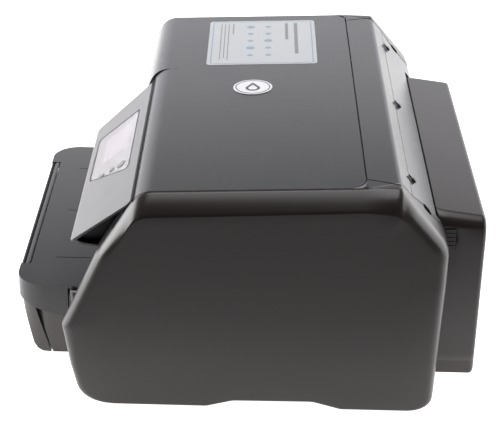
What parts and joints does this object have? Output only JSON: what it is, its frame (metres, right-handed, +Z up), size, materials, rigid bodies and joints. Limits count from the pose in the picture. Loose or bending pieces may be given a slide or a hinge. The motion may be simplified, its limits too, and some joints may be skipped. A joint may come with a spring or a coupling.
{
  "type": "desktop inkjet printer",
  "caption": "Desktop inkjet printer with paper cassette, output tray, tilting touch panel, lift-up top cover and a clip-on two-sided printing unit behind.",
  "frame": {"origin": "on the surface the printer stands on, under the middle of its outline", "axes": "+X to the right seen from the front, +Y to the rear, +Z up"},
  "size_m": [0.494, 0.431, 0.2151],
  "materials": {
    "cover_plastic": "fine textured satin",
    "lid_plastic": "fine textured satin",
    "dark_plastic": "matt",
    "grey_plastic": "satin",
    "panel_gloss": "polished",
    "panel_glass": "polished",
    "screen": "dull glass",
    "key_print": "smooth",
    "steel": "brushed",
    "rubber": "matt",
    "clear_film": "smooth film",
    "gear_plastic": "smooth",
    "brass": "turned",
    "head": "satin",
    "ink_tank": "smooth",
    "circuit_board": "solder mask"
  },
  "bodies": {
    "chassis": {"base_frame": "dark_plastic", "feet": "rubber", "side_cover_right": "cover_plastic", "side_cover_left": "cover_plastic", "lid_hinge_pins": "steel", "rear_strip": "lid_plastic", "rear_cover": "lid_plastic", "rear_hooks": "dark_plastic", "front_frame": "cover_plastic", "output_shelf": "dark_plastic", "inner_fascia": "dark_plastic", "panel_hinge_pins": "steel", "status_lens": "key_print", "chassis_plate_left": "steel", "chassis_plate_right": "steel", "rear_rail": "steel", "guide_rod": "steel", "encoder_strip": "clear_film", "drive_belt": "rubber", "belt_motor": "steel", "platen": "dark_plastic", "feed_motor": "steel", "service_station": "dark_plastic", "power_supply": "dark_plastic", "main_board": "circuit_board", "rear_ports": "dark_plastic", "power_inlet": "dark_plastic"},
    "lid": {"top_cover": "lid_plastic"},
    "control_panel": {"panel_bezel": "panel_gloss", "panel_back_shell": "dark_plastic", "panel_window": "panel_glass", "display_screen": "screen", "touch_keys": "key_print"},
    "power_key": {"power_button": "grey_plastic"},
    "cassette": {"cassette_body": "cover_plastic", "cassette_front": "cover_plastic", "tray_pivot_pins": "steel"},
    "guide_left": {"paper_guide_left": "grey_plastic"},
    "guide_right": {"paper_guide_right": "grey_plastic"},
    "guide_length": {"paper_guide_length": "grey_plastic"},
    "tray": {"output_tray": "lid_plastic"},
    "extension": {"tray_extension": "lid_plastic"},
    "duplexer": {"duplexer_housing": "cover_plastic", "duplexer_guide": "dark_plastic"},
    "upper_roller": {"duplexer_roller_upper": "rubber"},
    "lower_roller": {"duplexer_roller_lower": "rubber"},
    "latch_left": {"duplexer_latch_left": "dark_plastic"},
    "latch_right": {"duplexer_latch_right": "dark_plastic"},
    "print_carriage": {"carriage": "dark_plastic", "printhead": "head", "ink_cartridges": "ink_tank"},
    "motor_pulley": {"belt_pulley": "steel"},
    "tension_pulley": {"idler_pulley": "steel"},
    "feed": {"feed_shaft": "rubber", "feed_gear": "gear_plastic"},
    "pinion": {"feed_pinion": "brass"},
    "eject": {"eject_shaft": "rubber"},
    "stars": {"star_wheels": "steel"},
    "arm": {"pick_arm": "dark_plastic"},
    "pickup": {"pick_roller": "rubber"}
  },
  "joints": [
    {"name": "lid_hinge", "type": "hinge", "parent": "chassis", "child": "lid", "pos_m": [0, 0.092, 0.203], "axis": [-1, 0, 0], "range_deg": [0, 70]},
    {"name": "panel_tilt", "type": "hinge", "parent": "chassis", "child": "control_panel", "pos_m": [0, -0.098, 0.1844], "axis": [-1, 0, 0], "range_deg": [-20, 20]},
    {"name": "power_press", "type": "slide", "parent": "chassis", "child": "power_key", "axis": [0, 0.9822, -0.188], "range_m": [0, 0.0015], "stiffness_N_per_m": 400, "springref_m": -0.001},
    {"name": "cassette_slide", "type": "slide", "parent": "chassis", "child": "cassette", "axis": [0, -1, 0], "range_m": [0, 0.2]},
    {"name": "guide_left_slide", "type": "slide", "parent": "cassette", "child": "guide_left", "axis": [1, 0, 0], "range_m": [0, 0.05]},
    {"name": "guide_right_slide", "type": "slide", "parent": "cassette", "child": "guide_right", "axis": [1, 0, 0], "range_m": [-0.05, 0]},
    {"name": "guide_length_slide", "type": "slide", "parent": "cassette", "child": "guide_length", "axis": [0, 1, 0], "range_m": [0, 0.09]},
    {"name": "tray_lift", "type": "hinge", "parent": "cassette", "child": "tray", "pos_m": [0, -0.1585, 0.068], "axis": [-1, 0, 0], "range_deg": [0, 45]},
    {"name": "extension_slide", "type": "slide", "parent": "tray", "child": "extension", "axis": [0, -1, 0], "range_m": [0, 0.05]},
    {"name": "duplexer_slide", "type": "slide", "parent": "chassis", "child": "duplexer", "axis": [0, 1, 0], "range_m": [0, 0.08]},
    {"name": "upper_roller_spin", "type": "hinge", "parent": "duplexer", "child": "upper_roller", "pos_m": [0, 0.19, 0.12], "axis": [1, 0, 0], "continuous": true},
    {"name": "lower_roller_spin", "type": "hinge", "parent": "duplexer", "child": "lower_roller", "pos_m": [0, 0.19, 0.045], "axis": [1, 0, 0], "continuous": true},
    {"name": "latch_left_press", "type": "slide", "parent": "duplexer", "child": "latch_left", "axis": [1, 0, 0], "range_m": [0, 0.004], "stiffness_N_per_m": 600, "springref_m": -0.001},
    {"name": "latch_right_press", "type": "slide", "parent": "duplexer", "child": "latch_right", "axis": [-1, 0, 0], "range_m": [0, 0.004], "stiffness_N_per_m": 600, "springref_m": -0.001},
    {"name": "carriage_slide", "type": "slide", "parent": "chassis", "child": "print_carriage", "axis": [1, 0, 0], "range_m": [-0.3, 0]},
    {"name": "motor_pulley_spin", "type": "hinge", "parent": "chassis", "child": "motor_pulley", "pos_m": [-0.19, 0.06, 0.172], "axis": [0, 1, 0], "continuous": true},
    {"name": "tension_pulley_spin", "type": "hinge", "parent": "chassis", "child": "tension_pulley", "pos_m": [0.19, 0.06, 0.172], "axis": [0, 1, 0], "continuous": true},
    {"name": "feed_spin", "type": "hinge", "parent": "chassis", "child": "feed", "pos_m": [0, 0.034, 0.088], "axis": [1, 0, 0], "continuous": true},
    {"name": "pinion_spin", "type": "hinge", "parent": "chassis", "child": "pinion", "pos_m": [0.212, 0.034, 0.1256], "axis": [1, 0, 0], "continuous": true},
    {"name": "eject_spin", "type": "hinge", "parent": "chassis", "child": "eject", "pos_m": [0, -0.042, 0.084], "axis": [1, 0, 0], "continuous": true},
    {"name": "star_spin", "type": "hinge", "parent": "chassis", "child": "stars", "pos_m": [0, -0.042, 0.0994], "axis": [1, 0, 0], "continuous": true},
    {"name": "pick_arm_swing", "type": "hinge", "parent": "chassis", "child": "arm", "pos_m": [0.007, 0.052, 0.076], "axis": [1, 0, 0], "range_deg": [-25, 0], "stiffness_Nm_per_rad": 0.06, "springref_deg": 28.65},
    {"name": "pick_spin", "type": "hinge", "parent": "arm", "child": "pickup", "pos_m": [0.007, 0.096, 0.07], "axis": [1, 0, 0], "continuous": true}
  ],
  "couplings": [
    {"joint": "guide_right_slide", "follows": "guide_left_slide", "ratio": -1},
    {"joint": "lower_roller_spin", "follows": "upper_roller_spin", "ratio": 1},
    {"joint": "motor_pulley_spin", "follows": "carriage_slide", "rad_per_m": -135.1},
    {"joint": "tension_pulley_spin", "follows": "carriage_slide", "rad_per_m": -135.1},
    {"joint": "pinion_spin", "follows": "feed_spin", "ratio": -4},
    {"joint": "eject_spin", "follows": "feed_spin", "ratio": 1},
    {"joint": "star_spin", "follows": "feed_spin", "ratio": -1.5},
    {"joint": "pick_spin", "follows": "feed_spin", "ratio": 0.5}
  ]
}
